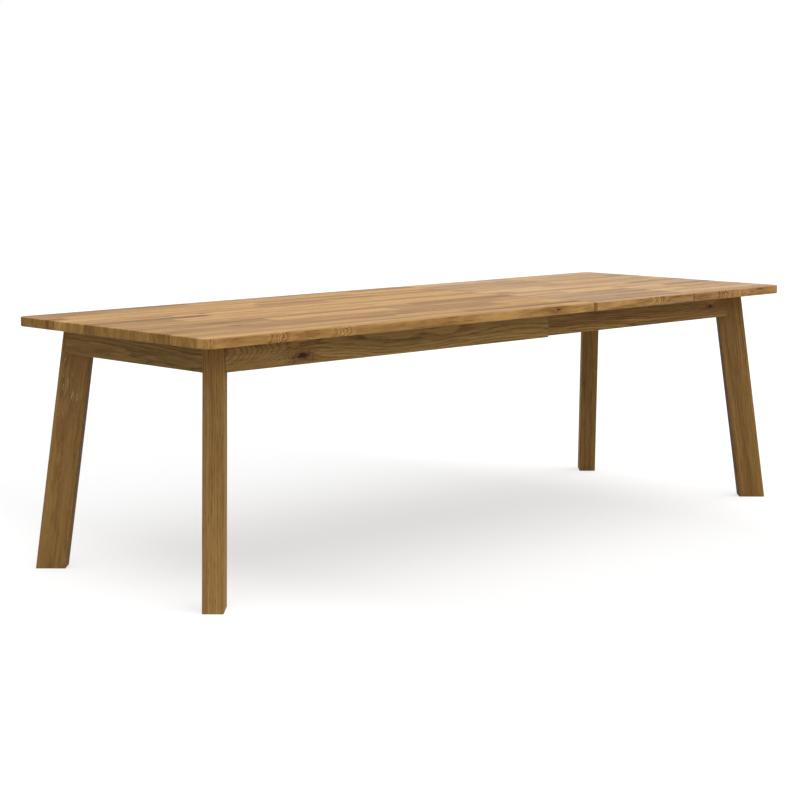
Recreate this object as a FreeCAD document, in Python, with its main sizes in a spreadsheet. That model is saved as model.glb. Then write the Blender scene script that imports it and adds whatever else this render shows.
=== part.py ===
"""Extending oak table: a main top on a fixed frame, a pull-out end frame and two lay-on leaves.

Millimetres, +Z up. The origin is on the floor under the middle of the extended table.
-X is the fixed end, +X the pull-out end, -Y the front.
"""
import FreeCAD, Part
import os
import re
import Sketcher

SIZES = {
    "table_height": 758,
    "table_width": 900,
    "main_length": 1600,
    "leaf_length": 500,
    "top_thickness": 28,
    "corner_radius": 30,
    "edge_round": 3,
    "leaf_gap": 0.3,
    "joint_round": 2,
    "leg_width": 60,
    "leg_depth": 90,
    "leg_round": 3,
    "foot_round": 2,
    "foot_inset": 31,
    "leg_top_inset": 103,
    "apron_inset": 86,
    "apron_height": 80,
    "apron_thickness": 25,
    "apron_round": 2,
    "apron_end_gap": 13,
    "rail_thickness": 25,
    "rail_gap": 2.5,
    "rail_end_gap": 8,
    "slide_clearance": 0.5,
    "tongue_height": 12,
    "tongue_reach": 8,
    "tongue_seat": 6,
    "tongue_length": 165,
    "tongue_clearance": 0.3,
    "tongue_end_gap": 4,
    "tongue_setback": 6,
    "brace_thickness": 22,
    "brace_height": 56,
    "brace_drop": 4,
    "brace_gap": 0.3,
    "cross_rail_thickness": 25,
    "batten_width": 60,
    "batten_thickness": 14,
    "batten_clearance": 2,
    "batten_leg_gap": 12,
    "main_batten_left": 420,
    "main_batten_right": 240,
    "leaf_batten_edge": 110,
    "cleat_side": 20,
    "cleat_brace_gap": 30,
    "stop_length": 30,
    "stop_width": 60,
    "stop_height": 45,
    "stop_rail_gap": 50,
    "stop_gap": 0.3,
    "pin_diameter": 10,
    "pin_seat": 22,
    "pin_reach": 18,
    "pin_end_room": 2,
    "pin_clearance": 0.2,
    "pin_edge": 150,
    "dowel_diameter": 10,
    "dowel_in_top": 16,
    "dowel_in_apron": 28,
    "dowel_end": 100,
    "rail_dowel_in_rail": 10,
    "rail_dowel_in_cross": 20,
    "rail_dowel_spread": 32,
    "screw_diameter": 4,
    "screw_head": 8,
    "screw_head_height": 3,
    "recess_length": 4.6,
    "recess_width": 1.1,
    "recess_depth": 1.8,
    "screw_bite": 15,
    "screw_clearance": 0.2,
    "bolt_diameter": 8,
    "bolt_in_leg": 45,
    "bolt_tail": 4,
    "bolt_clearance": 0.3,
    "nut_width": 13,
    "nut_height": 6.5,
    "washer_diameter": 24,
    "washer_height": 2,
}

# Lengths worked out from the driving sizes
HALF_LENGTH = "((main_length + 2 * leaf_length) / 2)"
HALF_WIDTH = "(table_width / 2)"
UNDERSIDE = "(table_height - top_thickness)"
SLIDE_TOP = f"({UNDERSIDE} - slide_clearance)"
APRON_BOTTOM = f"({UNDERSIDE} - apron_height)"
LOW_TOP = f"({UNDERSIDE} - batten_thickness - batten_clearance)"
TRAVEL = "(2 * leaf_length)"
MAIN_END = f"({HALF_LENGTH} - {TRAVEL})"
LEAF_JOINT = f"({HALF_LENGTH} - leaf_length)"
LEG_SKEW = "(leg_width / sqrt(2))"
LEG_RUN = "(sqrt(2) * (leg_top_inset - foot_inset))"
APRON_INNER = "(apron_inset + apron_thickness)"
APRON_LEFT = f"(-{HALF_LENGTH} + {LEG_SKEW})"
APRON_RIGHT = f"({MAIN_END} - {LEG_SKEW} - apron_end_gap)"
RAIL_OUTER = f"({APRON_INNER} + rail_gap)"
RAIL_INNER = f"({RAIL_OUTER} + rail_thickness)"
BRACE_TOP = f"({LOW_TOP} - brace_drop)"
BOLT_LEVEL = f"({BRACE_TOP} - brace_height / 2)"
BRACE_OUTER = (f"(sqrt(2) * foot_inset + {LEG_RUN} * {BRACE_TOP} / {UNDERSIDE}"
               " + leg_depth + brace_gap)")
BRACE_INNER = f"({BRACE_OUTER} + brace_thickness)"
BATTEN_HALF = (f"({HALF_WIDTH} - leg_top_inset - (leg_depth + leg_width / 2) / sqrt(2)"
               " - batten_leg_gap)")
BRACE_END = f"(-{HALF_LENGTH} + sqrt(2) * {BRACE_INNER} - {APRON_INNER})"
RAIL_END = f"({BRACE_END} + rail_end_gap + {TRAVEL})"
CLEAT_HALF = f"({HALF_WIDTH} - sqrt(2) * {BRACE_INNER} + {APRON_INNER} - cleat_brace_gap)"
STOP_MIDDLE = f"({HALF_WIDTH} - {RAIL_INNER} - stop_rail_gap - stop_width / 2)"
TONGUE_MIDDLE = f"({APRON_BOTTOM} + apron_height / 2)"
TONGUE_LEFT = f"({RAIL_END} + tongue_setback)"
TONGUE_RIGHT = f"({TONGUE_LEFT} + tongue_length)"
TONGUE_INNER = f"({RAIL_OUTER} + tongue_seat)"
PIN_LEVEL = f"({UNDERSIDE} + top_thickness / 2)"
DOWELS_PER_APRON = 4
TOUCH = 1e-4

doc = FreeCAD.newDocument("extending_table")
sheet = doc.addObject("Spreadsheet::Sheet", "Sheet")
for row, (alias, value) in enumerate(SIZES.items(), start=1):
    sheet.set(f"A{row}", alias)
    sheet.set(f"B{row}", str(value))
    sheet.setAlias(f"B{row}", alias)
doc.recompute()

SIZE_NAME = re.compile(r"\b(" + "|".join(SIZES) + r")\b")
sub_parts = []


def bind(thing, path, formula):
    """Bind a property to a formula whose sizes are read from the sheet."""
    thing.setExpression(path, SIZE_NAME.sub(r"Sheet.\1", formula))


def place(thing, x="0", y="0", z="0"):
    for axis, formula in zip("xyz", (x, y, z)):
        bind(thing, f"Placement.Base.{axis}", formula)


def finished(thing, label):
    """Keep an object as one sub-part of the table under its own label."""
    thing.Label = label
    sub_parts.append(thing)
    return thing


def box(name, length, width, height, x, y, z):
    thing = doc.addObject("Part::Box", name)
    for path, formula in (("Length", length), ("Width", width), ("Height", height)):
        bind(thing, path, formula)
    place(thing, x, y, z)
    return thing


def cylinder(name, diameter, length, x, y, z, axis=(0, 0, 1)):
    """Cylinder that starts at a point and runs along an axis."""
    thing = doc.addObject("Part::Cylinder", name)
    bind(thing, "Radius", f"({diameter}) / 2")
    bind(thing, "Height", length)
    thing.Placement.Rotation = FreeCAD.Rotation(FreeCAD.Vector(0, 0, 1), FreeCAD.Vector(*axis))
    place(thing, x, y, z)
    return thing


def group(name, things):
    thing = doc.addObject("Part::Compound", name)
    thing.Links = things
    return thing


def cut(name, base, tools):
    thing = doc.addObject("Part::Cut", name)
    thing.Base = base
    thing.Tool = group(f"{name}_tools", tools)
    return thing


def outline(body, name, corners):
    """Closed sketch on the body's XY plane, each corner held by two formulas."""
    plane = next(item for item in body.Origin.OriginFeatures if item.Role == "XY_Plane")
    sketch = body.newObject("Sketcher::SketchObject", name)
    sketch.AttachmentSupport = [(plane, "")]
    sketch.MapMode = "FlatFace"
    turn = FreeCAD.Rotation(FreeCAD.Vector(0, 0, 1), 360 / len(corners))
    start = [FreeCAD.Vector(100, 0, 0)]
    while len(start) < len(corners):
        start.append(turn.multVec(start[-1]))
    for index, point in enumerate(start):
        sketch.addGeometry(Part.LineSegment(point, start[(index + 1) % len(start)]), False)
    for index in range(len(corners)):
        sketch.addConstraint(Sketcher.Constraint("Coincident", index, 2, (index + 1) % len(corners), 1))
    for index, (x, y) in enumerate(corners):
        for kind, formula, value in (("DistanceX", x, start[index].x), ("DistanceY", y, start[index].y)):
            number = sketch.addConstraint(Sketcher.Constraint(kind, -1, 1, index, 1, value))
            bind(sketch, f"Constraints[{number}]", formula)
    return sketch


def board(name, corners, height):
    """Body padded upwards from an outline."""
    body = doc.addObject("PartDesign::Body", name)
    profile = outline(body, f"{name}_outline", corners)
    pad = body.newObject("PartDesign::Pad", f"{name}_pad")
    pad.Profile = profile
    bind(pad, "Length", height)
    doc.recompute()
    return body


def rounded(body, radius, wanted):
    """Fillet on the edges of the body that pass a test."""
    base = body.Tip
    edges = [f"Edge{n}" for n, edge in enumerate(base.Shape.Edges, start=1) if wanted(edge)]
    fillet = body.newObject("PartDesign::Fillet", f"{body.Name}_round_{len(body.Group)}")
    fillet.Base = (base, edges)
    bind(fillet, "Radius", radius)
    doc.recompute()


def is_level(edge):
    return edge.BoundBox.ZLength < TOUCH


def is_upright(edge):
    return not is_level(edge)


def runs_along_x(edge):
    return is_level(edge) and edge.BoundBox.YLength < TOUCH


def runs_along_y(edge):
    return is_level(edge) and edge.BoundBox.XLength < TOUCH


def is_low(edge):
    return edge.BoundBox.ZMax < TOUCH


def inside_edge(side, depth):
    """Y of a line a given depth inside the front edge (-1) or the back edge (1)."""
    return f"({side} * ({HALF_WIDTH} - {depth}))"


# Blocks screwed up into the tops
def cross_recess(name, x, y, underside):
    """Two crossing slots in the face of a screw head."""
    slots = (("long", "recess_length", "recess_width"), ("short", "recess_width", "recess_length"))
    return [box(f"{name}_{word}", length, width, "recess_depth",
                f"{x} - {length} / 2", f"{y} - {width} / 2", underside) for word, length, width in slots]


def top_screw(name, x, y, underside):
    head = cylinder(f"{name}_head", "screw_head", "screw_head_height", x, y, underside)
    shank = cylinder(f"{name}_shank", "screw_diameter", f"{UNDERSIDE} + screw_bite - {underside}",
                     x, y, underside)
    blank = doc.addObject("Part::Fuse", f"{name}_blank")
    blank.Base = head
    blank.Tool = shank
    return cut(name, blank, cross_recess(f"{name}_recess", x, y, underside))


def screw_clearance_holes(name, x, y, underside):
    sink = cylinder(f"{name}_sink", "screw_head + 2 * screw_clearance", "screw_head_height",
                    x, y, underside)
    hole = cylinder(f"{name}_hole", "screw_diameter + 2 * screw_clearance",
                    f"{UNDERSIDE} - {underside}", x, y, underside)
    return [sink, hole]


def screwed_block(label, length, width, height, x, y, screw_places):
    """Drilled block under a top, with its screws and the pilot holes that they need in the top."""
    underside = f"({UNDERSIDE} - {height})"
    blank = box(f"{label}_blank", length, width, height, x, y, underside)
    holes, screws, pilots = [], [], []
    for number, (screw_x, screw_y) in enumerate(screw_places, start=1):
        holes += screw_clearance_holes(f"{label}_{number}", screw_x, screw_y, underside)
        screws.append(top_screw(f"{label}_screw_{number}", screw_x, screw_y, underside))
        pilots.append(cylinder(f"{label}_pilot_{number}", "screw_diameter", "screw_bite",
                               screw_x, screw_y, UNDERSIDE))
    return cut(f"{label}_drilled", blank, holes), screws, pilots


def batten(label, middle):
    """Cross batten about a place along the table, with three screws."""
    screw_places = [(middle, f"({side} * ({BATTEN_HALF} - batten_width / 2))") for side in (-1, 0, 1)]
    block, screws, pilots = screwed_block(label, "batten_width", f"2 * {BATTEN_HALF}", "batten_thickness",
                                          f"{middle} - batten_width / 2", f"-{BATTEN_HALF}", screw_places)
    finished(block, label)
    return screws, pilots


def end_cleat(label):
    left = f"(-{HALF_LENGTH} + {APRON_INNER})"
    screw_places = [(f"{left} + cleat_side / 2", f"{side} * ({CLEAT_HALF} - cleat_side)")
                    for side in (-1, 0, 1)]
    block, screws, pilots = screwed_block(label, "cleat_side", f"2 * {CLEAT_HALF}", "cleat_side",
                                          left, f"-{CLEAT_HALF}", screw_places)
    finished(block, label)
    return screws, pilots


def stops(label, left):
    """Pair of blocks that the cross rail meets at one end of its travel."""
    blocks, screws, pilots = [], [], []
    for word, side in (("front", -1), ("back", 1)):
        middle = f"({side} * {STOP_MIDDLE})"
        screw_places = [(f"{left} + stop_length / 2", f"{middle} + {end} * stop_width / 4")
                        for end in (-1, 1)]
        block, more_screws, more_pilots = screwed_block(
            f"{label}_{word}", "stop_length", "stop_width", "stop_height",
            left, f"{middle} - stop_width / 2", screw_places)
        blocks.append(block)
        screws += more_screws
        pilots += more_pilots
    finished(group(f"{label}_pair", blocks), label)
    return screws, pilots


# Aprons and slide rails, mitred at 45 degrees onto the legs
def apron_dowel_places(side):
    y = inside_edge(side, "(apron_inset + apron_thickness / 2)")
    first = f"({APRON_LEFT} + {APRON_INNER} + dowel_end)"
    last = f"({APRON_RIGHT} - {APRON_INNER} - dowel_end)"
    return [(f"({first} + ({last} - {first}) * {number} / {DOWELS_PER_APRON - 1})", y)
            for number in range(DOWELS_PER_APRON)]


def apron_dowels(name, length, bottom):
    """Upright cylinders at every dowel place of both side aprons."""
    places = apron_dowel_places(-1) + apron_dowel_places(1)
    return [cylinder(f"{name}_{number}", "dowel_diameter", length, x, y, bottom)
            for number, (x, y) in enumerate(places, start=1)]


def level_bar(name, side, outer, inner, left, right, play="0"):
    """Bar along the table at the level of the tongues, between two depths inside a long edge."""
    return box(name, f"{right} - {left}", f"{inner} - {outer}", f"tongue_height + 2 * {play}", left,
               inside_edge(side, outer if side < 0 else inner),
               f"{TONGUE_MIDDLE} - tongue_height / 2 - {play}")


def main_apron(label, side):
    corners = [(f"{APRON_LEFT} + apron_inset", inside_edge(side, "apron_inset")),
               (f"{APRON_RIGHT} - apron_inset", inside_edge(side, "apron_inset")),
               (f"{APRON_RIGHT} - {APRON_INNER}", inside_edge(side, APRON_INNER)),
               (f"{APRON_LEFT} + {APRON_INNER}", inside_edge(side, APRON_INNER))]
    body = board(f"{label}_board", corners, "apron_height")
    rounded(body, "apron_round", lambda edge: runs_along_x(edge) and is_low(edge))
    place(body, z=APRON_BOTTOM)
    holes = [cylinder(f"{label}_hole_{number}", "dowel_diameter", "dowel_in_apron",
                      x, y, f"{UNDERSIDE} - dowel_in_apron")
             for number, (x, y) in enumerate(apron_dowel_places(side), start=1)]
    groove_bottom = f"({APRON_INNER} - tongue_reach - tongue_clearance)"
    groove = level_bar(f"{label}_groove", side, groove_bottom, APRON_INNER,
                       f"({TONGUE_LEFT} - {TRAVEL} - tongue_end_gap)", APRON_RIGHT, "tongue_clearance")
    finished(cut(f"{label}_grooved", body, holes + [groove]), label)


def end_apron(label, end, height):
    corners = []
    for depth, order in (("apron_inset", (-1, 1)), (APRON_INNER, (1, -1))):
        for side in order:
            corners.append((f"({end} * ({HALF_LENGTH} - {depth}))",
                            f"({side} * ({HALF_WIDTH} - {LEG_SKEW} - {depth}))"))
    body = board(f"{label}_board", corners, height)
    rounded(body, "apron_round", lambda edge: runs_along_y(edge) and is_low(edge))
    place(body, z=APRON_BOTTOM)
    finished(body, label)


def rail_dowels(name, side):
    """Two dowels that join the cross rail to one slide rail."""
    x = f"({RAIL_END} + cross_rail_thickness / 2)"
    y = inside_edge(side, f"({RAIL_INNER} - rail_dowel_in_rail)")
    middle = f"(({APRON_BOTTOM} + {LOW_TOP}) / 2)"
    return [cylinder(f"{name}_{word}", "dowel_diameter", "rail_dowel_in_rail + rail_dowel_in_cross",
                     x, y, f"{middle} + {end} * rail_dowel_spread / 2", (0, -side, 0))
            for word, end in (("low", -1), ("high", 1))]


def slide_rail(label, side):
    right = f"({HALF_LENGTH} - {LEG_SKEW})"
    corners = [(RAIL_END, inside_edge(side, RAIL_OUTER)),
               (f"{right} - {RAIL_OUTER}", inside_edge(side, RAIL_OUTER)),
               (f"{right} - {RAIL_INNER}", inside_edge(side, RAIL_INNER)),
               (RAIL_END, inside_edge(side, RAIL_INNER))]
    body = board(f"{label}_board", corners, "apron_height - slide_clearance")
    rounded(body, "apron_round", lambda edge: runs_along_x(edge) and is_low(edge))
    place(body, z=APRON_BOTTOM)
    seat = level_bar(f"{label}_seat", side, RAIL_OUTER, TONGUE_INNER, TONGUE_LEFT, TONGUE_RIGHT)
    finished(cut(f"{label}_drilled", body, [seat] + rail_dowels(f"{label}_hole", side)), label)


def tongue(label, side):
    """Strip let into a slide rail that runs in the groove of the side apron."""
    finished(level_bar(f"{label}_strip", side, f"({APRON_INNER} - tongue_reach)", TONGUE_INNER,
                       TONGUE_LEFT, TONGUE_RIGHT), label)


def frame_cross_rail(label):
    half = f"({HALF_WIDTH} - {RAIL_INNER})"
    rail = box(f"{label}_blank", "cross_rail_thickness", f"2 * {half}", f"{LOW_TOP} - {APRON_BOTTOM}",
               RAIL_END, f"-{half}", APRON_BOTTOM)
    holes = rail_dowels(f"{label}_front_hole", -1) + rail_dowels(f"{label}_back_hole", 1)
    finished(cut(f"{label}_drilled", rail, holes), label)


# Legs, braces, bolts and nuts, drawn along the diagonal of a corner of the table
CORNER_ANGLE = {(1, -1): -45, (1, 1): 45, (-1, 1): 135, (-1, -1): 225}


def turned(thing, x_side, y_side, z="0"):
    """Stand an object that is drawn about a corner of the top at one of the four corners."""
    thing.Placement.Rotation = FreeCAD.Rotation(FreeCAD.Vector(0, 0, 1), CORNER_ANGLE[(x_side, y_side)])
    place(thing, f"{x_side} * {HALF_LENGTH}", f"{y_side} * {HALF_WIDTH}", z)


def on_diagonal(thing, x_side, y_side, reach):
    """Lay a primitive on a leg bolt's line, from a reach inside the corner outwards."""
    outwards = FreeCAD.Vector(x_side, y_side, 0)
    thing.Placement.Rotation = FreeCAD.Rotation(FreeCAD.Vector(0, 0, 1), outwards)
    place(thing, f"{x_side} * ({HALF_LENGTH} - ({reach}) / sqrt(2))",
          f"{y_side} * ({HALF_WIDTH} - ({reach}) / sqrt(2))", BOLT_LEVEL)
    return thing


def leg_bolt(name, x_side, y_side, diameter):
    tail = f"({BRACE_INNER} + washer_height + nut_height + bolt_tail)"
    rod = cylinder(name, diameter, f"{tail} - {BRACE_OUTER} + bolt_in_leg", "0", "0", "0")
    return on_diagonal(rod, x_side, y_side, tail)


def leg_nut(name, x_side, y_side):
    """Washer and hexagon nut behind a brace, both bored for the bolt."""
    washer = cylinder(f"{name}_disc", "washer_diameter", "washer_height", "0", "0", "0")
    on_diagonal(washer, x_side, y_side, f"{BRACE_INNER} + washer_height")
    hexagon = doc.addObject("Part::Prism", f"{name}_hexagon")
    hexagon.Polygon = 6
    bind(hexagon, "Circumradius", "nut_width / sqrt(3)")
    bind(hexagon, "Height", "nut_height")
    on_diagonal(hexagon, x_side, y_side, f"{BRACE_INNER} + washer_height + nut_height")
    return [cut(f"{name}_{word}", blank, [leg_bolt(f"{name}_{word}_bore", x_side, y_side, "bolt_diameter")])
            for word, blank in (("washer", washer), ("nut", hexagon))]


def leg(label, x_side, y_side, height):
    """Splayed leg whose side faces stand upright and take the ends of the aprons."""
    outer = "(-sqrt(2) * foot_inset)"
    corners = [(f"{outer} - leg_depth", "-leg_width / 2"), (outer, "-leg_width / 2"),
               (outer, "leg_width / 2"), (f"{outer} - leg_depth", "leg_width / 2")]
    body = board(f"{label}_stock", corners, height)
    pad = body.Tip
    pad.UseCustomVector = True
    pad.AlongSketchNormal = True
    bind(pad, "Direction.x", f"-{LEG_RUN}")
    bind(pad, "Direction.y", "0")
    bind(pad, "Direction.z", UNDERSIDE)
    doc.recompute()
    rounded(body, "leg_round", is_upright)
    rounded(body, "foot_round", is_low)
    turned(body, x_side, y_side)
    hole = leg_bolt(f"{label}_bolt_hole", x_side, y_side, "bolt_diameter")
    finished(cut(f"{label}_drilled", body, [hole]), label)


def corner_brace(label, x_side, y_side, side_depth):
    """Block across the corner between the side piece and the end apron."""
    end_is_left = x_side * y_side < 0
    corners = []
    for reach, order in ((BRACE_OUTER, (-1, 1)), (BRACE_INNER, (1, -1))):
        for turn in order:
            depth = APRON_INNER if (turn > 0) == end_is_left else side_depth
            corners.append((f"-{reach}", f"{turn} * ({reach} - sqrt(2) * {depth})"))
    body = board(f"{label}_block", corners, "brace_height")
    turned(body, x_side, y_side, f"{BRACE_TOP} - brace_height")
    hole = leg_bolt(f"{label}_bolt_hole", x_side, y_side, "bolt_diameter + 2 * bolt_clearance")
    finished(cut(f"{label}_drilled", body, [hole]), label)


def corner_pair(end_word, x_side, leg_height, side_depth):
    """Both legs of one end with what fastens them."""
    bolts, nuts = [], []
    for word, y_side in (("front", -1), ("back", 1)):
        corner = f"{end_word}_{word}"
        leg(f"leg_{corner}", x_side, y_side, leg_height)
        corner_brace(f"corner_brace_{corner}", x_side, y_side, side_depth)
        bolts.append(leg_bolt(f"leg_bolt_{corner}", x_side, y_side, "bolt_diameter"))
        nuts += leg_nut(f"leg_nut_{corner}", x_side, y_side)
    finished(group(f"bolt_group_{end_word}", bolts), f"leg_bolts_{end_word}")
    finished(group(f"nut_group_{end_word}", nuts), f"leg_nuts_{end_word}")


# Tops
def rectangle(left, right):
    return [(left, f"-{HALF_WIDTH}"), (right, f"-{HALF_WIDTH}"), (right, HALF_WIDTH), (left, HALF_WIDTH)]


def pins(name, diameter, start, length):
    """Three level cylinders along the table at mid thickness of the tops."""
    return [cylinder(f"{name}_{word}", diameter, length, start, f"({side} * ({HALF_WIDTH} - pin_edge))",
                     PIN_LEVEL, (1, 0, 0)) for word, side in (("front", -1), ("middle", 0), ("back", 1))]


def pin_seats(name, joint):
    return pins(name, "pin_diameter", f"{joint} + leaf_gap", "pin_seat")


def pin_sockets(name, joint):
    depth = "(pin_reach + pin_end_room)"
    return pins(name, "pin_diameter + 2 * pin_clearance", f"{joint} - {depth}", depth)


def leaf_pins(label, joint):
    start = f"({joint} + leaf_gap - pin_reach)"
    finished(group(f"{label}_group", pins(f"{label}_pin", "pin_diameter", start, "pin_reach + pin_seat")),
             label)


def main_top(label, pilots):
    body = board(f"{label}_board", rectangle(f"-{HALF_LENGTH}", MAIN_END), "top_thickness")
    rounded(body, "corner_radius", is_upright)
    rounded(body, "edge_round", is_level)
    place(body, z=UNDERSIDE)
    holes = apron_dowels(f"{label}_dowel_hole", "dowel_in_top", UNDERSIDE)
    sockets = pin_sockets(f"{label}_socket", MAIN_END)
    finished(cut(f"{label}_drilled", body, pilots + holes + sockets), label)


def leaf(label, joint, end, holes, outermost):
    """Leaf top: the outermost one is rounded at its free end, and joints are eased all round."""
    body = board(f"{label}_board", rectangle(f"{joint} + leaf_gap", end), "top_thickness")
    near = body.Shape.BoundBox.XMin
    far = body.Shape.BoundBox.XMax
    if outermost:
        rounded(body, "corner_radius", lambda edge: is_upright(edge) and edge.BoundBox.XMin > far - TOUCH)
    rounded(body, "edge_round", lambda edge: runs_along_x(edge) or
            (outermost and is_level(edge) and edge.BoundBox.XMax > near + TOUCH))
    joints = [near] if outermost else [near, far]
    rounded(body, "joint_round", lambda edge: edge.BoundBox.XLength < TOUCH and
            any(abs(edge.BoundBox.XMin - x) < TOUCH for x in joints))
    place(body, z=UNDERSIDE)
    finished(cut(f"{label}_drilled", body, holes), label)


def leaf_set(label, joint, end, sockets, outermost):
    """Leaf with its battens, screws and pins."""
    screws, pilots = [], []
    for word, middle in (("left", f"({joint} + leaf_batten_edge)"), ("right", f"({end} - leaf_batten_edge)")):
        more_screws, more_pilots = batten(f"{label}_batten_{word}", middle)
        screws += more_screws
        pilots += more_pilots
    leaf(label, joint, end, pilots + pin_seats(f"{label}_seat", joint) + sockets, outermost)
    finished(group(f"{label}_screw_group", screws), f"{label}_screws")
    leaf_pins(f"{label}_pins", joint)


# Main frame
for word, side in (("front", -1), ("back", 1)):
    main_apron(f"main_apron_{word}", side)
    tongue(f"tongue_{word}", side)
    slide_rail(f"slide_rail_{word}", side)
end_apron("end_apron_left", -1, "apron_height")
corner_pair("left", -1, UNDERSIDE, APRON_INNER)
under_main_top = [
    batten("top_batten_left", f"(-{HALF_LENGTH} + main_batten_left)"),
    batten("top_batten_right", f"({MAIN_END} - main_batten_right)"),
    end_cleat("end_cleat"),
    stops("extension_stops", f"({RAIL_END} + cross_rail_thickness + stop_gap)"),
    stops("closing_stops", f"({RAIL_END} - {TRAVEL} - stop_gap - stop_length)"),
]
finished(group("top_screw_group", [screw for screws, _ in under_main_top for screw in screws]), "top_screws")
main_top("main_top", [hole for _, pilots in under_main_top for hole in pilots])
finished(group("apron_dowel_group", apron_dowels("apron_dowel", "dowel_in_apron + dowel_in_top",
                                                 f"{UNDERSIDE} - dowel_in_apron")), "apron_dowels")

# Pull-out end frame
end_apron("end_apron_right", 1, f"{LOW_TOP} - {APRON_BOTTOM}")
frame_cross_rail("frame_cross_rail")
finished(group("rail_dowel_group", rail_dowels("rail_dowel_front", -1) + rail_dowels("rail_dowel_back", 1)),
         "cross_rail_dowels")
corner_pair("right", 1, SLIDE_TOP, RAIL_INNER)

# Leaves
leaf_set("leaf_inner", MAIN_END, LEAF_JOINT, pin_sockets("leaf_inner_socket", LEAF_JOINT), False)
leaf_set("leaf_outer", LEAF_JOINT, HALF_LENGTH, [], True)

doc.recompute()
faults = [item.Name for item in doc.Objects if "Invalid" in item.State or "Error" in item.State]
faults += [item.Label for item in sub_parts if item.Shape.isNull() or not item.Shape.isValid()]
if faults:
    raise RuntimeError("failed objects: " + ", ".join(faults))

os.makedirs("parts", exist_ok=True)
for item in sub_parts:
    item.Shape.exportStep(f"parts/{item.Label}.step")
    print(item.Label, len(item.Shape.Solids), "solids", round(item.Shape.Volume), "mm3")
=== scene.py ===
"""Looks of the extending oak table: oiled oak, beech and zinc, studio light and the photograph's camera."""
import math

import bmesh
import bpy
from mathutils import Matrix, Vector


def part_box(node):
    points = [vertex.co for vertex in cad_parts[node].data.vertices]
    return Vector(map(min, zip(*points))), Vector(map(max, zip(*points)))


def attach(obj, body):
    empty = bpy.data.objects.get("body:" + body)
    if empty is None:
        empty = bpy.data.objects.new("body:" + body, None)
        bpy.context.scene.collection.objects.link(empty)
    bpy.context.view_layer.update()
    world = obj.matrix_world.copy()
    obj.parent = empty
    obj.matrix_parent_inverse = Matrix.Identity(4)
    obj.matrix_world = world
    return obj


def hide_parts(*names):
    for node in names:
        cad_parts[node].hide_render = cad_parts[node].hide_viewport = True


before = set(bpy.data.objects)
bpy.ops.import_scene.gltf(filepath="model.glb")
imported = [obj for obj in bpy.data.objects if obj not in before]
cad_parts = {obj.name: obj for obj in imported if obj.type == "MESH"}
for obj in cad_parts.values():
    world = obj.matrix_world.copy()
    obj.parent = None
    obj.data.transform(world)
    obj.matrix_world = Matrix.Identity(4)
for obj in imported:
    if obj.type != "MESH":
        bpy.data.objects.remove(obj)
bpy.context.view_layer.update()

# Camera of the photograph: place, heading from +X, fall and focal length
CAMERA_PLACE = (-4.622, -4.591, 1.325)
CAMERA_HEADING = math.radians(45.74)
CAMERA_FALL = math.radians(7.851)
PHOTO_SIDE = 800
FOCAL_PIXELS = 2003
SENSOR_WIDTH = 36.0

# Light: a wide soft lamp overhead, a faint fill from the left front, and an even surround
AMBIENT = 0.27
KEY_FROM = (0.20, -0.40, 1.0)
KEY_SPREAD = math.radians(100)
KEY_STRENGTH = 0.71 * math.pi
FILL_FROM = (-0.6, -1.2, 0.55)
FILL_SPREAD = math.radians(60)
FILL_STRENGTH = 0.09 * math.pi

# Floor: half its side, its tone, and the light that it shows by itself, in the middle and past the ends,
# where this painted light fades the table's shadow
FLOOR_HALF = 60.0
FLOOR_TONE = 0.50
MIDDLE_LIFT = 0.54
END_LIFT = 0.69
END_LIFT_REACH = (0.70, 1.35)


def linear(red, green, blue):
    """Linear colour of an sRGB colour given in 0 to 255."""
    shares = [value / 255 for value in (red, green, blue)]
    return tuple(c / 12.92 if c <= 0.04045 else ((c + 0.055) / 1.055) ** 2.4 for c in shares) + (1.0,)


# Pale and dark colour of each wood, and dull and bright colour of the zinc
TOP_OAK = (linear(210, 162, 94), linear(116, 69, 8))
FRAME_OAK = (linear(190, 146, 84), linear(92, 64, 30))
APRON_OAK = (linear(186, 147, 86), linear(87, 64, 31))
PLAIN_OAK = (linear(196, 158, 108), linear(126, 92, 54))
BEECH = (linear(216, 176, 128), linear(172, 128, 84))
ZINC = (linear(150, 152, 156), linear(196, 198, 200))

# Colours of the marks in the wood, and tints of its sawn ends
PORE = linear(66, 44, 22)
RUST = linear(98, 48, 24)
HEART = linear(34, 19, 10)
FLECK = linear(196, 168, 122)
END_TINT = (0.94, 0.96, 0.28, 1.0)
JOINT_END_TINT = (1.0, 1.0, 1.0, 1.0)

# Fineness of each pattern, in cycles a metre along the grain and across it
WANDER_GRAIN = (1.1, 4.0, 4.0)
RIPPLE_GRAIN = (8.0, 48.0, 48.0)
FIBRE_GRAIN = (11.0, 230.0, 230.0)
STREAK_GRAIN = (1.7, 48.0, 48.0)
BROAD_GRAIN = (0.9, 11.0, 11.0)
DASH_GRAIN = (30.0, 300.0, 300.0)
PORE_GRAIN = (34.0, 900.0, 900.0)
FLECK_GRAIN = (15.0, 62.0, 62.0)
PATCH_GRAIN = (4.0, 16.0, 16.0)
STRAY_GRAIN = (45.0, 60.0, 60.0)
KNOT_GRAIN = (120.0, 300.0, 300.0)
CHECKS_GRAIN = (170.0, 420.0, 420.0)
END_BAND_GRAIN = (1.0, 58.0, 6.0)
ZINC_GRAIN = (900.0, 900.0, 900.0)

# Growth rings: their width and ripple in metres, and where in a ring the summer wood starts and ends
RING_WIDTH = 0.0046
RIPPLE = 0.007
SUMMER_STARTS = (0.0, 0.6)
SUMMER_ENDS = (0.84, 1.0)

# Levels of the noise between which each mark comes up; those of a fleck are counted from the middle
DASH_LEVELS = (0.54, 0.68)
PORE_LEVELS = (0.55, 0.67)
FLECK_LEVELS = (0.004, 0.022)
PATCH_LEVELS = (0.47, 0.57)
CHECKS_LEVELS = (0.50, 0.60)
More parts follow.
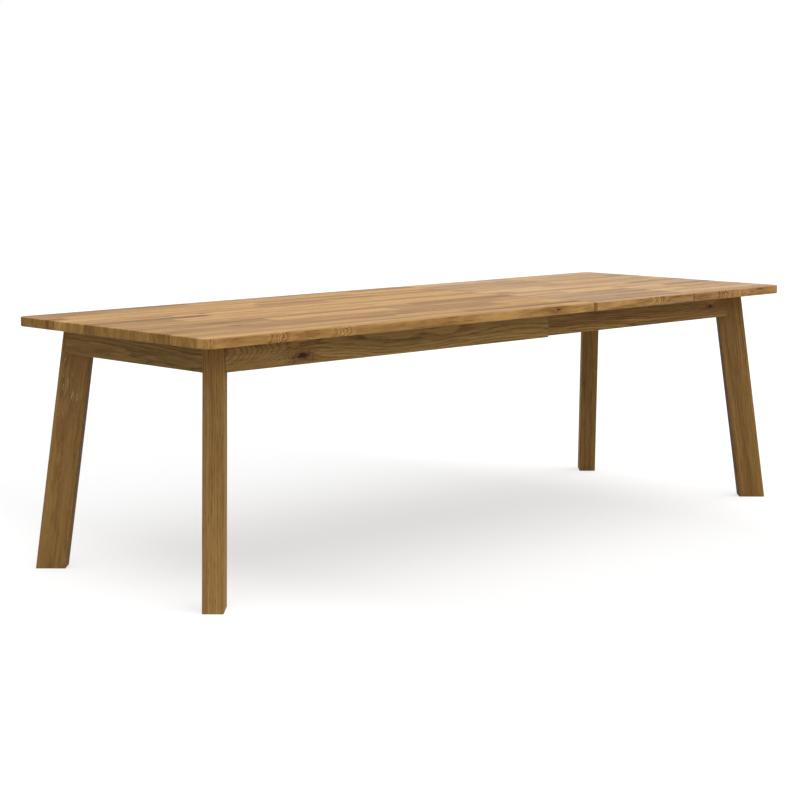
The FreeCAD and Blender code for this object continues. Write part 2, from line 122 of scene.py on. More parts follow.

# How squarely a face looks along the grain, to the side that gets painted shade, or upwards, from not at
# all to fully
SAWN_FACING = (0.75, 0.95)
INNER_SHADE_FACING = (0.6, 0.9)
UPPER_FACING = (0.3, 0.7)

# Share of each pattern in the depth of the colour, where 0 is pale wood and 1 is dark wood
MIDDLE_DEPTH = 0.40
MOST_DEPTH = 1.1
FIBRE_DEPTH = 0.95
STREAK_DEPTH = 1.0
BROAD_DEPTH = 0.8
DASH_DEPTH = 0.10
POROUS_DEPTH = 0.30
YEAR_DEPTH = 0.24

# Depth of painted shade in the joints (at the leaves' joint also dark grime) and on the legs' sides that
# turn to the table, and how far a joint's shade reaches in metres
JOINT_SHADE_DEPTH = 0.42
APRON_JOINT_SHADE_DEPTH = 1.1
INNER_SHADE_DEPTH = 0.4
JOINT_SHADE_REACH = 0.0042

# Sawn ends: their own depth, bands and pores, and their rings, waves and tones against the sides' ones
END_DEPTH = 0.12
END_BANDS = 0.6
END_PORES = 0.15
END_RINGS = 1.5
END_WAVES = 0.5
END_TONES = 0.7

# Pores, and the relief and roughness that the grain gives to the surface
SIDE_PORES = 0.5
SUMMER_PORES = 0.25
SUMMER_HEIGHT = 0.35
RELIEF = 0.0003
RELIEF_STRENGTH = 0.6
POROUS_ROUGH = 0.08
FIBRE_ROUGH = 0.12

# Knots: stretch along the grain, ragged outline, rust ring and heart in knot sizes, and bend of the rings
KNOT_STRETCH = 2.6
KNOT_RAGGED = (-0.3, 2.3)
RUST_REACH = (0.7, 3.2)
RUST_SHARE = 0.6
HEART_REACH = (0.45, 1.1)
HEART_SHARE = 0.9
SWIRL = 0.018
SWIRL_SPREAD = (0.046, 0.014, 0.014)

# Small checks beside a knot: how far away and how wide, in knot sizes, and how dark
CHECKS_AWAY = 5.0
CHECKS_SPREAD = (3.6, 0.8, 0.8)
CHECKS_SHARE = 0.75


class Graph:
    """Short calls that add nodes to a shader tree and return their outputs."""

    def __init__(self, tree):
        self.tree = tree

    def feed(self, socket, value):
        if isinstance(value, bpy.types.NodeSocket):
            self.tree.links.new(value, socket)
        else:
            socket.default_value = value

    def node(self, kind, feeds=(), **settings):
        node = self.tree.nodes.new(kind)
        for name, value in settings.items():
            setattr(node, name, value)
        for key, value in dict(feeds).items():
            self.feed(node.inputs[key], value)
        return node

    def math(self, operation, *values):
        return self.node("ShaderNodeMath", enumerate(values), operation=operation).outputs[0]

    def total(self, first, *others):
        for other in others:
            first = self.math("ADD", first, other)
        return first

    def product(self, first, *others):
        for other in others:
            first = self.math("MULTIPLY", first, other)
        return first

    def between(self, share, low, high):
        """Low at a share of 0 and high at a share of 1."""
        return self.math("MULTIPLY_ADD", share, high - low, low)

    def swing(self, value, gain):
        """Value in 0 to 1 turned into a rise and fall about zero."""
        return self.math("MULTIPLY", self.math("SUBTRACT", value, 0.5), gain)

    def steps(self, value, low, high):
        """Smooth rise from 0 at low to 1 at high."""
        return self.node("ShaderNodeMapRange", {"Value": value, "From Min": low, "From Max": high},
                         interpolation_type="SMOOTHSTEP").outputs[0]

    def falls(self, value, low, high):
        """Smooth fall from 1 at low to 0 at high."""
        return self.math("SUBTRACT", 1.0, self.steps(value, low, high))

    def fades(self, value):
        """1 at zero, falling away on both sides of it."""
        return self.math("EXPONENT", self.product(value, value, -1.0))

    def vector(self, operation, *values):
        node = self.node("ShaderNodeVectorMath", enumerate(values), operation=operation)
        return node.outputs["Value" if operation in ("DOT_PRODUCT", "LENGTH") else "Vector"]

    def combine(self, x, y, z):
        return self.node("ShaderNodeCombineXYZ", {"X": x, "Y": y, "Z": z}).outputs[0]

    def separate(self, vector):
        return self.node("ShaderNodeSeparateXYZ", {"Vector": vector}).outputs

    def along(self, vector, axes):
        """Vector turned into its parts along three axes."""
        return self.combine(*(self.vector("DOT_PRODUCT", vector, tuple(axis)) for axis in axes))

    def noise(self, vector, scales, detail=2.0, rough=0.5):
        """Noise in 0 to 1 with a scale for each axis, in cycles a metre."""
        stretched = self.vector("MULTIPLY", vector, scales)
        return self.node("ShaderNodeTexNoise", {"Vector": stretched, "Scale": 1.0, "Detail": detail,
                                                "Roughness": rough}).outputs[0]

    def dice(self, first, second=0.5, third=0.5):
        """Three random numbers that are fixed for each set of values."""
        values = self.combine(first, second, third)
        return self.separate(self.node("ShaderNodeTexWhiteNoise", {"Vector": values}).outputs["Color"])

    def bump(self, place, centre, spread):
        """1 at a centre, falling away over a spread along each axis."""
        offset = self.vector("SUBTRACT", place, tuple(centre))
        return self.fades(self.vector("LENGTH", self.vector("DIVIDE", offset, spread)))

    def arches(self, run, rise, reach, slope, curve):
        """Bend of the rings into nested arches over a reach along the grain."""
        share = self.math("DIVIDE", run, reach)
        return self.total(self.product(self.math("TANH", share), slope * reach),
                          self.product(rise, rise, self.fades(share), curve))

    def mix(self, share, first, second, blend="MIX"):
        return self.node("ShaderNodeMix", {0: share, 6: first, 7: second}, data_type="RGBA",
                         blend_type=blend).outputs[2]


WOOD_INPUTS = {"Grain": "Vector", "Stretch": "Vector", "Pith": "Vector", "Facing": "Vector",
               "Wander": "Float", "Bend": "Float", "Tone": "Float", "Contrast": "Float", "Rings": "Float",
               "Fleck": "Float", "Light": "Color", "Dark": "Color", "Ends": "Color"}
WOOD_OUTPUTS = {"Color": "Color", "Height": "Float", "Gloss": "Float"}

# How far the pattern moves with the pith, so that no two boards look alike
PITH_SHIFT = (7.0, 3.0, 3.0)


def wood_group():
    """Node group of solid wood in board coordinates: U along the grain, the pith off to one side."""
    tree = bpy.data.node_groups.new("solid_wood", "ShaderNodeTree")
    for name, kind in WOOD_INPUTS.items():
        tree.interface.new_socket(name, in_out="INPUT", socket_type=f"NodeSocket{kind}")
    for name, kind in WOOD_OUTPUTS.items():
        tree.interface.new_socket(name, in_out="OUTPUT", socket_type=f"NodeSocket{kind}")
    g = Graph(tree)
    given = g.node("NodeGroupInput").outputs
    grain, pith = given["Grain"], given["Pith"]
    place = g.vector("ADD", g.vector("MULTIPLY", grain, given["Stretch"]),
                     g.vector("MULTIPLY", pith, PITH_SHIFT))

    # Distance from the pith, wandering along the board
    across = g.separate(g.vector("ADD", grain, pith))
    radius = g.math("SQRT", g.total(g.product(across[1], across[1]), g.product(across[2], across[2])))
    wander = g.product(g.swing(g.noise(place, WANDER_GRAIN), 1.0), given["Wander"])
    ripple = g.swing(g.noise(place, RIPPLE_GRAIN), RIPPLE)
    bent = g.total(radius, wander, ripple, given["Bend"])

    # Growth rings: porous spring wood, dense summer wood, and a shade for each year
    phase = g.math("DIVIDE", bent, RING_WIDTH)
    ring = g.math("FRACT", phase)
    summer = g.math("SUBTRACT", g.steps(ring, *SUMMER_STARTS), g.steps(ring, *SUMMER_ENDS))
    porous = g.math("SUBTRACT", 1.0, summer)
    year = g.dice(g.math("FLOOR", phase))[0]

    # Fibres, streaks, dashes and pores along the grain
    fibre = g.noise(place, FIBRE_GRAIN, detail=4.0, rough=0.6)
    streak = g.noise(place, STREAK_GRAIN, detail=3.0, rough=0.6)
    broad = g.noise(place, BROAD_GRAIN)
    dash = g.steps(g.noise(place, DASH_GRAIN, detail=1.0), *DASH_LEVELS)
    pores = g.steps(g.noise(place, PORE_GRAIN, detail=1.0), *PORE_LEVELS)
    pore = g.product(pores, g.between(porous, SUMMER_PORES, 1.0))

    # Colour from pale to dark wood, with the pores and the tint of the sawn ends
    end = g.steps(g.math("ABSOLUTE", g.separate(given["Facing"])[0]), *SAWN_FACING)
    side = g.math("SUBTRACT", 1.0, end)
    growth = g.product(g.total(g.swing(porous, POROUS_DEPTH), g.swing(year, YEAR_DEPTH)), given["Rings"],
                       g.between(end, 1.0, END_RINGS))
    waves = g.total(g.swing(fibre, FIBRE_DEPTH), g.swing(streak, STREAK_DEPTH), g.swing(broad, BROAD_DEPTH),
                    g.product(dash, DASH_DEPTH))
    waves = g.product(waves, given["Contrast"], g.between(side, END_WAVES, 1.0))
    depth = g.total(waves, growth, given["Tone"], g.product(end, END_DEPTH), MIDDLE_DEPTH)
    depth = g.math("MAXIMUM", g.math("MINIMUM", depth, MOST_DEPTH), 0.0)
    colour = g.mix(depth, given["Light"], given["Dark"])
    colour = g.mix(g.product(pore, g.between(side, END_PORES, SIDE_PORES)), colour, PORE)
    colour = g.mix(g.product(end, depth), colour, given["Ends"], "MULTIPLY")

    # Ray flecks: thin wavering pale lines in patches
    waver = g.math("ABSOLUTE", g.swing(g.noise(place, FLECK_GRAIN, detail=1.0), 1.0))
    patch = g.steps(g.noise(place, PATCH_GRAIN, detail=1.0), *PATCH_LEVELS)
    colour = g.mix(g.product(g.falls(waver, *FLECK_LEVELS), patch, given["Fleck"]), colour, FLECK)

    height = g.math("SUBTRACT", g.product(summer, SUMMER_HEIGHT), pore)
    gloss = g.total(g.product(porous, POROUS_ROUGH), g.product(fibre, FIBRE_ROUGH))
    g.node("NodeGroupOutput", {"Color": colour, "Height": height, "Gloss": gloss})
    return tree


WOOD = wood_group()


def shaded(name):
    """New material with an empty tree: the material, its graph and its shader."""
    material = bpy.data.materials.new(name)
    material.use_nodes = True
    material.node_tree.nodes.clear()
    g = Graph(material.node_tree)
    shader = g.node("ShaderNodeBsdfPrincipled")
    g.node("ShaderNodeOutputMaterial", {"Surface": shader.outputs[0]})
    return material, g, shader


def knot_mark(g, colour, place, centre, size):
    """Dark ragged heart in a rust ring, drawn out along the first axis, and small checks on one side."""
    offset = g.vector("DIVIDE", g.vector("SUBTRACT", place, tuple(centre)), (KNOT_STRETCH, 1.0, 1.0))
    ragged = g.between(g.noise(place, KNOT_GRAIN, detail=3.0, rough=0.6), *KNOT_RAGGED)
    reach = g.math("DIVIDE", g.product(g.vector("LENGTH", offset), ragged), size)
    colour = g.mix(g.product(g.falls(reach, *RUST_REACH), RUST_SHARE), colour, RUST)
    colour = g.mix(g.product(g.falls(reach, *HEART_REACH), HEART_SHARE), colour, HEART)
    beside = Vector(centre) - Vector((CHECKS_AWAY * size, 0.0, 0.0))
    near = g.bump(place, beside, tuple(spread * size for spread in CHECKS_SPREAD))
    checks = g.steps(g.noise(place, CHECKS_GRAIN, detail=1.0), *CHECKS_LEVELS)
    return g.mix(g.product(near, checks, CHECKS_SHARE), colour, HEART)


def finish_wood(g, shader, feeds, place, knots, rough, specular):
    """Lay the wood group and the knots at a place on the shader, with an oiled finish."""
    wood = g.node("ShaderNodeGroup", node_tree=WOOD)
    for key, value in feeds.items():
        g.feed(wood.inputs[key], value)
    colour = wood.outputs["Color"]
    for centre, size in knots:
        colour = knot_mark(g, colour, place, centre, size)
    g.feed(shader.inputs["Base Color"], colour)
    g.feed(shader.inputs["Roughness"], g.math("ADD", wood.outputs["Gloss"], rough))
    shader.inputs["Specular IOR Level"].default_value = specular
    relief = g.node("ShaderNodeBump", {"Height": wood.outputs["Height"], "Distance": RELIEF,
                                       "Strength": RELIEF_STRENGTH})
    g.feed(shader.inputs["Normal"], relief.outputs[0])


def paint(node, material):
    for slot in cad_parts[node].material_slots:
        slot.material = material


# Arched grain on the front edges of the tops: how far it reaches, its slope and its curve
FIGURE_REACH = 0.030
FIGURE_SLOPE = 0.40
FIGURE_CURVE = 20.0
FIGURE_STRAY = 0.035
FIGURE_DEPTHS = (0.012, 0.045)


def edge_figure(g, x, y, z, front, middle, places):
    """Bend of the rings at places along the front edge, and how far it acts."""
    at_front = g.falls(y, front + FIGURE_DEPTHS[0], front + FIGURE_DEPTHS[1])
    rise = g.math("SUBTRACT", z, middle)
    stray = g.swing(g.noise(g.combine(x, y, z), STRAY_GRAIN), FIGURE_STRAY)
    bend, acts = 0.0, 0.0
    for place in places:
        run = g.total(g.math("SUBTRACT", x, place), stray)
        arches = g.arches(run, rise, FIGURE_REACH, FIGURE_SLOPE, FIGURE_CURVE)
        bend = g.total(g.product(arches, at_front), bend)
        acts = g.total(g.product(g.fades(g.math("DIVIDE", run, FIGURE_REACH)), at_front), acts)
    return bend, acts


# Staves of the tops: widths and lengths in metres, and the range of their tones, less of it in front
FRONT_STAVE = 0.045
STAVE_WIDTH = 0.056
STAVE_JITTER = 0.7
STAVE_LENGTHS = (0.40, 0.95)
STAVE_SHIFT = 3.0
STAVE_TONES = 0.62
FRONT_TONES = 0.2

# Pith of a stave: its place along the log, its distance and its turn from upright rings
PITH_ALONG = 5.0
PITH_AWAY = (0.035, 0.195)
PITH_TURN = 1.5

# Values that give the draws of the staves' borders and of their second set their own numbers
BORDER_DRAW = 1.5
SECOND_DRAW = 7.3

# Look of the tops: stretch of the pattern, rings apart from and in the figure, and gloss of each top
TOP_STRETCH = (0.6, 1.0, 0.22)
TOP_WANDER = 0.04
TOP_CONTRAST = 1.4
TOP_RINGS = (0.7, 1.7)
TOP_SPECULAR = 0.22
TOP_ROUGH = {"main_top": 0.46, "leaf_inner": 0.36, "leaf_outer": 0.36}
TOP_SEEDS = {"main_top": 3.0, "leaf_inner": 15.0, "leaf_outer": 20.0}
LEAF_JOINT = {"leaf_inner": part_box("leaf_inner")[1][0], "leaf_outer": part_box("leaf_outer")[0][0]}

# Changes of tone along the front stave: where each starts, where it is full, and how much
FRONT_CHANGES = {"main_top": ((0.13, 0.19, -0.28), (-0.25, -0.55, -0.10)),
                 "leaf_inner": ((0.306, 0.300, -0.28),),
                 "leaf_outer": ((0.70, 0.72, 0.06),)}

# Places along the front edges where the grain arches, and knots with their sizes
FIGURES = {"main_top": (-1.045, -0.805), "leaf_inner": (0.617,), "leaf_outer": (0.975, 1.07)}
TOP_KNOTS = {"main_top": (((-1.003, -0.215, 0.758), 0.005), ((-0.846, 0.140, 0.758), 0.005),
                          ((0.110, -0.450, 0.7475), 0.003))}


def dress_top(node):
    """Top of glued staves: each length of stave has its own tone and its own place in the log."""
    material, g, shader = shaded(f"oak_{node}")
    seed = TOP_SEEDS[node]
    low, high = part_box(node)
    middle = (low[2] + high[2]) / 2
    place = g.node("ShaderNodeTexCoord").outputs["Object"]
    x, y, z = g.separate(place)

    # Row of staves, with uneven widths, and length of stave in the rows behind the front one
    lane = g.math("DIVIDE", g.math("SUBTRACT", y, low[1] + FRONT_STAVE), STAVE_WIDTH)
    border = g.math("ROUND", lane)
    edge = g.total(border, g.swing(g.dice(border, seed, BORDER_DRAW)[0], STAVE_JITTER))
    row = g.math("ADD", border, g.math("GREATER_THAN", lane, edge))
    by_row = g.dice(row, seed)
    length = g.between(by_row[0], *STAVE_LENGTHS)
    shifted = g.math("MULTIPLY_ADD", by_row[1], STAVE_SHIFT, g.math("SUBTRACT", x, low[0]))
    behind = g.math("GREATER_THAN", row, 0.5)
    stave = g.product(g.math("FLOOR", g.math("DIVIDE", shifted, length)), behind)
    first = g.dice(row, stave, seed)
    second = g.dice(stave, row, seed + SECOND_DRAW)

    # The rings stand upright in most staves
    turn = g.total(g.swing(first[0], PITH_TURN), g.product(g.math("ROUND", first[2]), math.pi))
    away = g.between(first[1], *PITH_AWAY)
    pith = g.combine(g.product(second[0], PITH_ALONG), g.product(g.math("COSINE", turn), away),
                     g.product(g.math("SINE", turn), away))
    bend, figured = edge_figure(g, x, y, z, low[1], middle, FIGURES[node])
    grain = g.combine(x, g.math("MULTIPLY_ADD", row, -STAVE_WIDTH, g.math("SUBTRACT", y, low[1])),
                      g.math("SUBTRACT", z, middle))

    # Tone of each stave, with bands on the sawn ends, shade in the leaves' joint and the front's changes
    facing = g.node("ShaderNodeNewGeometry").outputs["Normal"]
    faced = g.separate(facing)
    sawn = g.steps(g.math("ABSOLUTE", faced[0]), *SAWN_FACING)
    tone = g.product(g.swing(second[1], STAVE_TONES), g.between(behind, FRONT_TONES, 1.0),
                     g.between(sawn, 1.0, END_TONES))
    bands = g.swing(g.noise(place, END_BAND_GRAIN, detail=3.0), END_BANDS)
    tone = g.total(tone, g.product(bands, sawn))
    # Painted shade of the gap between the leaves, with the joint's dark grime, kept off the upper face
    if node in LEAF_JOINT:
        gap = g.math("ABSOLUTE", g.math("SUBTRACT", x, LEAF_JOINT[node]))
        upright = g.falls(faced[2], *UPPER_FACING)
        tone = g.total(tone, g.product(g.falls(gap, 0.0, JOINT_SHADE_REACH), upright, JOINT_SHADE_DEPTH))
    in_front = g.math("SUBTRACT", 1.0, behind)
    for start, full, change in FRONT_CHANGES[node]:
        tone = g.total(tone, g.product(g.steps(x, start, full), in_front, change))

    feeds = {"Grain": grain, "Stretch": TOP_STRETCH, "Pith": pith, "Facing": facing, "Bend": bend,
             "Wander": TOP_WANDER, "Tone": tone, "Contrast": TOP_CONTRAST,
             "Rings": g.between(figured, *TOP_RINGS), "Light": TOP_OAK[0], "Dark": TOP_OAK[1],
             "Ends": JOINT_END_TINT if node == "leaf_inner" else END_TINT}
    finish_wood(g, shader, feeds, place, TOP_KNOTS.get(node, ()), TOP_ROUGH[node], TOP_SPECULAR)
    paint(node, material)


# Boards: their usual look, their gloss, and how their pith moves on with the seed
BOARD_LOOK = {"wander": 0.06, "tone": 0.0, "contrast": 0.9, "rings": 0.7, "fleck": 0.0}
BOARD_STRETCH = (1.0, 1.0, 1.0)
BOARD_ROUGH = 0.62
BOARD_SPECULAR = 0.15
SEED_TURN = 2.4
SEED_STRIDE = 1.7
FLECK_RISE = 0.06


def board_axes(along):
    """Axes of a board: along the grain and two across it."""
    u = Vector(along).normalized()
    is_upright = abs(u.z) > 0.5
    v = u.cross(Vector((u.y, -u.x, 0.0)) if is_upright else Vector((0.0, 0.0, 1.0))).normalized()
    return u, v, u.cross(v)


def dress_board(node, along, seed, colours, pith_away=0.09, arches=(), knots=(), fleck_above=None,
                shade_towards=None, joint=None, **look):
    """Solid board with its grain along a direction; arches and knots are given by places in the table."""
    material, g, shader = shaded(f"wood_{node}")
    low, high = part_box(node)
    middle = (Vector(low) + Vector(high)) / 2
    axes = board_axes(along)
    place = g.node("ShaderNodeTexCoord").outputs["Object"]
    normal = g.node("ShaderNodeNewGeometry").outputs["Normal"]
    grain = g.along(g.vector("SUBTRACT", place, tuple(middle)), axes)

    def in_board(spot):
        offset = Vector(spot) - middle
        return tuple(offset.dot(axis) for axis in axes)

    turn = seed * SEED_TURN
    feeds = {"Grain": grain, "Stretch": BOARD_STRETCH, "Light": colours[0], "Dark": colours[1],
             "Pith": (seed * SEED_STRIDE, pith_away * math.cos(turn), pith_away * math.sin(turn)),
             "Facing": g.along(normal, axes), "Ends": END_TINT}
    for name, value in {**BOARD_LOOK, **look}.items():
        feeds[name.title()] = value
    # Painted shade: the side of the leg that turns to the table is darkened
    if shade_towards is not None:
        inner = g.steps(g.vector("DOT_PRODUCT", normal, tuple(Vector(shade_towards).normalized())), *INNER_SHADE_FACING)
        feeds["Tone"] = g.total(g.product(inner, INNER_SHADE_DEPTH), feeds["Tone"])
    # Painted shade in the joint where the apron meets the leg
    if joint is not None:
        gap = g.math("ABSOLUTE", g.math("SUBTRACT", g.separate(place)[0], joint))
        shade = g.product(g.falls(gap, 0.0, JOINT_SHADE_REACH), APRON_JOINT_SHADE_DEPTH)
        feeds["Tone"] = g.total(shade, feeds["Tone"])
    bends = []
    for spot, reach, slope, curve in arches:
        offset = g.separate(g.vector("SUBTRACT", grain, in_board(spot)))
        bends.append(g.arches(offset[0], offset[2], reach, slope, curve))
    bends += [g.product(g.bump(grain, in_board(spot), SWIRL_SPREAD), SWIRL) for spot, _ in knots]
    feeds["Bend"] = g.total(0.0, *bends)
    if fleck_above is not None:
        rise = g.steps(g.separate(place)[2], fleck_above, fleck_above + FLECK_RISE)
        feeds["Fleck"] = g.product(rise, feeds["Fleck"])
    board_knots = [(in_board(spot), size) for spot, size in knots]
    finish_wood(g, shader, feeds, grain, board_knots, BOARD_ROUGH, BOARD_SPECULAR)
    paint(node, material)


# Least and greatest roughness of the zinc
ZINC_ROUGH = (0.22, 0.47)


def plated_steel():
    material, g, shader = shaded("zinc_steel")
    place = g.node("ShaderNodeTexCoord").outputs["Object"]
    cloud = g.noise(place, ZINC_GRAIN, detail=3.0)
    g.feed(shader.inputs["Base Color"], g.mix(cloud, *ZINC))
    g.feed(shader.inputs["Roughness"], g.between(cloud, *ZINC_ROUGH))
    shader.inputs["Metallic"].default_value = 1.0
    return material


# Leg bolts, nuts and washers: sizes in metres
RING_POINTS = 48
BOLT_RADIUS = 0.004
THREAD_PITCH = 0.00125
THREAD_DEPTH = 0.0007
THREAD_LENGTH = 0.010
THREAD_STEPS = 8
NUT_FLAT = 0.0065
NUT_HEIGHT = 0.0065
NUT_CROWN = 0.95 * NUT_FLAT
NUT_SLOPE = math.tan(math.radians(30))
SINK_WIDTH = 0.0004
WASHER_RADIUS = 0.012
WASHER_HEIGHT = 0.002
WASHER_BEVEL = 0.0003
SHARP_ANGLE = math.radians(25)
ANGLES = [2 * math.pi * count / RING_POINTS for count in range(RING_POINTS)]


def span(points, axis):
    """Least and greatest reach of points along an axis."""
    reaches = [point.dot(axis) for point in points]
    return min(reaches), max(reaches)


class BoltLine:
    """Line of a leg bolt, from inside the table out to a corner, and how far a node reaches along it."""

    def __init__(self, node, x, y):
        self.out = Vector((x, y, 0)).normalized()
        self.aside = Vector((y, -x, 0)).normalized()
        points = [vertex.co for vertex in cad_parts[node].data.vertices if vertex.co.y * y > 0]
        self.low, self.high = span(points, self.out)
        self.middle = self.aside * (sum(span(points, self.aside)) / 2)
        self.middle.z = sum(span(points, Vector((0, 0, 1)))) / 2

    def ring(self, reach, radius):
        """Ring of points about the line; the reach and the radius may follow the angle."""
        points = []
        for angle in ANGLES:
            far = reach(angle) if callable(reach) else reach
            wide = radius(angle) if callable(radius) else radius
            across = self.aside * math.cos(angle) + Vector((0, 0, math.sin(angle)))
            points.append(self.middle + self.out * far + across * wide)
        return points


def add_rings(mesh, rings, bored):
    """Faces between rings of points; a bored shape joins its last ring to its first, a rod has caps."""
    loops = [[mesh.verts.new(point) for point in ring] for ring in rings]
    pairs = list(zip(loops, loops[1:]))
    if bored:
        pairs.append((loops[-1], loops[0]))
    else:
        mesh.faces.new(loops[0])
        mesh.faces.new(loops[-1])
    for first, second in pairs:
        for count in range(RING_POINTS):
            after = (count + 1) % RING_POINTS
            mesh.faces.new((first[count], first[after], second[after], second[count]))


def threaded_bolt(mesh, line):
    """Bolt whose tail carries a thread that winds round it."""
    def crest(depth):
        def radius(angle):
            turn = (depth / THREAD_PITCH - angle / (2 * math.pi)) % 1.0
            groove = THREAD_DEPTH * abs(2 * turn - 1)
            return BOLT_RADIUS - max(groove, THREAD_DEPTH - depth)
        return radius

    count = round(THREAD_LENGTH / THREAD_PITCH * THREAD_STEPS)
    depths = [THREAD_LENGTH * step / count for step in range(count + 1)]
    rings = [line.ring(line.low + depth, crest(depth)) for depth in depths]
    rings.append(line.ring(line.low + THREAD_LENGTH + THREAD_PITCH, BOLT_RADIUS))
    rings.append(line.ring(line.high, BOLT_RADIUS))
    add_rings(mesh, rings, bored=False)


def chamfered_nut(mesh, line):
    """Hexagon nut with turned-off corners and a countersunk bore, on a washer with bevelled edges."""
    low, high = line.low, line.low + NUT_HEIGHT

    def flat(angle):
        sixth = math.pi / 3
        return NUT_FLAT / math.cos((angle + sixth / 2) % sixth - sixth / 2)

    def drop(angle):
        return (flat(angle) - NUT_CROWN) * NUT_SLOPE

    add_rings(mesh, [line.ring(low + SINK_WIDTH, BOLT_RADIUS),
                     line.ring(low, BOLT_RADIUS + SINK_WIDTH),
                     line.ring(low, NUT_CROWN),
                     line.ring(lambda angle: low + drop(angle), flat),
                     line.ring(lambda angle: high - drop(angle), flat),
                     line.ring(high, NUT_CROWN),
                     line.ring(high, BOLT_RADIUS)], bored=True)
    near, far = line.high - WASHER_HEIGHT, line.high
    rim = WASHER_RADIUS - WASHER_BEVEL
    add_rings(mesh, [line.ring(near, BOLT_RADIUS),
                     line.ring(near, rim),
                     line.ring(near + WASHER_BEVEL, WASHER_RADIUS),
                     line.ring(far - WASHER_BEVEL, WASHER_RADIUS),
                     line.ring(far, rim),
                     line.ring(far, BOLT_RADIUS)], bored=True)


def hardware(node, x, body, shape, steel):
    """Finer form of the bolts or the nuts of one end, in place of the CAD node."""
    build = bmesh.new()
    for y in (-1, 1):
        shape(build, BoltLine(node, x, y))
    bmesh.ops.recalc_face_normals(build, faces=build.faces)
    mesh = bpy.data.meshes.new(f"{node}_fine")
    build.to_mesh(mesh)
    build.free()
    mesh.shade_smooth()
    mesh.set_sharp_from_angle(angle=SHARP_ANGLE)
    mesh.materials.append(steel)
    piece = bpy.data.objects.new(f"{node}_fine", mesh)
    bpy.context.scene.collection.objects.link(piece)
    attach(piece, body)
    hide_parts(node)


ALONG_X = (1, 0, 0)
ALONG_Y = (0, 1, 0)
ALONG_Z = (0, 0, 1)

# Arched grain (place, reach, slope, curve) and knots (place, size) of the front apron and the front rail
APRON_ARCH = ((-1.04, -0.364, 0.690), 0.11, 0.26, 8.0)
APRON_KNOT = ((-0.886, -0.364, 0.675), 0.009)
RAIL_ARCH = ((0.62, -0.3365, 0.700), 0.25, 0.06, 5.0)
RAIL_KNOT = ((1.041, -0.3365, 0.691), 0.004)

# Boards of each kind; the seed goes up by one from board to board
APRON_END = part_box("main_apron_front")[0][0]
SIDE_SEED = 8.0
SIDE_BOARDS = {
    "main_apron_front": (APRON_OAK, {"rings": 0.95, "arches": [APRON_ARCH], "knots": [APRON_KNOT],
                                     "joint": APRON_END}),
    "main_apron_back": (APRON_OAK, {"joint": APRON_END}),
    "slide_rail_front": (FRAME_OAK, {"tone": 0.15, "rings": 1.1, "arches": [RAIL_ARCH],
                                     "knots": [RAIL_KNOT]}),
    "slide_rail_back": (FRAME_OAK, {})}
END_SEED = 13.0
END_BOARDS = ("end_apron_left", "end_apron_right")
INNER_SEED = 31.0
INNER_BOARDS = ("frame_cross_rail", "end_cleat", "extension_stops", "closing_stops", "top_batten_left",
                "top_batten_right", "leaf_inner_batten_left", "leaf_inner_batten_right",
                "leaf_outer_batten_left", "leaf_outer_batten_right")
BEECH_SEED = 51.0
BEECH_BOARDS = {"tongue_front": ALONG_X, "tongue_back": ALONG_X, "leaf_inner_pins": ALONG_X,
                "leaf_outer_pins": ALONG_X, "cross_rail_dowels": ALONG_Y, "apron_dowels": ALONG_Z}

# Corners of the table, and lean of the legs with the marks of the ones that differ, painted shade on the
# side turned to the table among them
CORNERS = (("left", -1, "front", -1), ("left", -1, "back", 1), ("right", 1, "front", -1),
           ("right", 1, "back", 1))
LEG_SEED = 1.0
BRACE_SEED = 21.0
LEG_SPLAY = 0.072 / 0.730
LEG_LOOK = {"pith_away": 0.5, "wander": 0.02, "contrast": 0.7, "rings": 0.45}
LEG_MARKS = {"leg_left_back": {"fleck": 0.8, "fleck_above": 0.44, "shade_towards": (1, -1, 0)},
             "leg_right_front": {"tone": 0.16, "fleck": 0.25, "fleck_above": 0.40, "shade_towards": (-1, 1, 0)}}


def dress():
    """Give every node its material."""
    for node in TOP_SEEDS:
        dress_top(node)
    for count, (end, x, side, y) in enumerate(CORNERS):
        leg = f"leg_{end}_{side}"
        upwards = (-x * LEG_SPLAY, -y * LEG_SPLAY, 1.0)
        dress_board(leg, upwards, LEG_SEED + count, FRAME_OAK, **LEG_LOOK, **LEG_MARKS.get(leg, {}))
        dress_board(f"corner_brace_{end}_{side}", (x, -y, 0), BRACE_SEED + count, PLAIN_OAK)
    for count, (node, (colours, look)) in enumerate(SIDE_BOARDS.items()):
        dress_board(node, ALONG_X, SIDE_SEED + count, colours, **look)
    for count, node in enumerate(END_BOARDS):
        dress_board(node, ALONG_Y, END_SEED + count, APRON_OAK, tone=0.10)
    for count, node in enumerate(INNER_BOARDS):
        dress_board(node, ALONG_Y, INNER_SEED + count, PLAIN_OAK)
    for count, (node, along) in enumerate(BEECH_BOARDS.items()):
        dress_board(node, along, BEECH_SEED + count, BEECH, contrast=0.6, fleck=0.2)
    steel = plated_steel()
    for node in ("top_screws", "leaf_inner_screws", "leaf_outer_screws"):
        paint(node, steel)
    for end, x, body in (("left", -1, "main_frame"), ("right", 1, "end_frame")):
        hardware(f"leg_bolts_{end}", x, body, threaded_bolt, steel)
        hardware(f"leg_nuts_{end}", x, body, chamfered_nut, steel)


def shown_rays(g):
    """1 for the rays that show the background itself, 0 for the rays that light the table."""
    rays = g.node("ShaderNodeLightPath").outputs
    return g.math("MAXIMUM", g.math("MAXIMUM", rays["Is Camera Ray"], rays["Is Glossy Ray"]),
                  rays["Is Transmission Ray"])


def soft_lamp(name, from_where, spread, strength):
    lamp = bpy.data.objects.new(name, bpy.data.lights.new(name, "SUN"))
    bpy.context.scene.collection.objects.link(lamp)
    lamp.rotation_euler = Vector(from_where).to_track_quat("Z", "Y").to_euler()
    lamp.data.angle = spread
    lamp.data.energy = strength


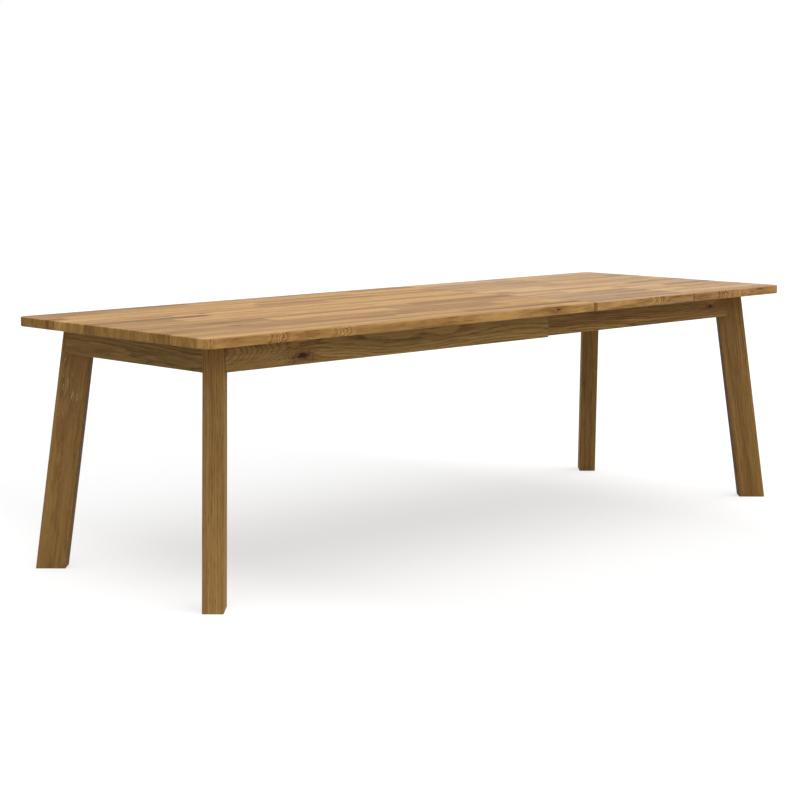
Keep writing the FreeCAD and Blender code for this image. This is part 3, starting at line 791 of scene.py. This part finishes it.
def camera_and_light():
    scene = bpy.context.scene
    camera = bpy.data.objects.new("photo_camera", bpy.data.cameras.new("photo_camera"))
    scene.collection.objects.link(camera)
    camera.location = CAMERA_PLACE
    camera.rotation_euler = (math.pi / 2 - CAMERA_FALL, 0.0, CAMERA_HEADING - math.pi / 2)
    camera.data.sensor_width = SENSOR_WIDTH
    camera.data.lens = SENSOR_WIDTH * FOCAL_PIXELS / PHOTO_SIDE
    scene.camera = camera

    soft_lamp("key_light", KEY_FROM, KEY_SPREAD, KEY_STRENGTH)
    soft_lamp("fill_light", FILL_FROM, FILL_SPREAD, FILL_STRENGTH)

    world = bpy.data.worlds.new("studio")
    scene.world = world
    world.use_nodes = True
    world.node_tree.nodes.clear()
    g = Graph(world.node_tree)
    strength = g.between(shown_rays(g), AMBIENT, 1.0)
    sky = g.node("ShaderNodeBackground", {"Color": (1, 1, 1, 1), "Strength": strength})
    g.node("ShaderNodeOutputWorld", {"Surface": sky.outputs[0]})
    scene.view_settings.view_transform = "Standard"


def floor():
    """Pale floor that keeps the table's shadow, faded by painted light towards the table's ends, and meets
    the white background.
    """
    mesh = bpy.data.meshes.new("floor")
    corners = [(x * FLOOR_HALF, y * FLOOR_HALF, 0.0) for x, y in ((-1, -1), (1, -1), (1, 1), (-1, 1))]
    mesh.from_pydata(corners, [], [(0, 1, 2, 3)])
    plane = bpy.data.objects.new("floor", mesh)
    bpy.context.scene.collection.objects.link(plane)
    material = bpy.data.materials.new("pale_floor")
    material.use_nodes = True
    material.node_tree.nodes.clear()
    g = Graph(material.node_tree)
    ground = g.node("ShaderNodeBsdfDiffuse", {"Color": (FLOOR_TONE, FLOOR_TONE, FLOOR_TONE, 1)})
    from_middle = g.math("ABSOLUTE", g.separate(g.node("ShaderNodeTexCoord").outputs["Object"])[0])
    # Painted light: the floor glows brighter towards the table's ends, which fades the shadow there
    rise = g.between(g.steps(from_middle, *END_LIFT_REACH), MIDDLE_LIFT, END_LIFT)
    lift = g.node("ShaderNodeEmission", {"Strength": g.product(shown_rays(g), rise)})
    both = g.node("ShaderNodeAddShader", {0: ground.outputs[0], 1: lift.outputs[0]})
    g.node("ShaderNodeOutputMaterial", {"Surface": both.outputs[0]})
    mesh.materials.append(material)


dress()
camera_and_light()
floor()
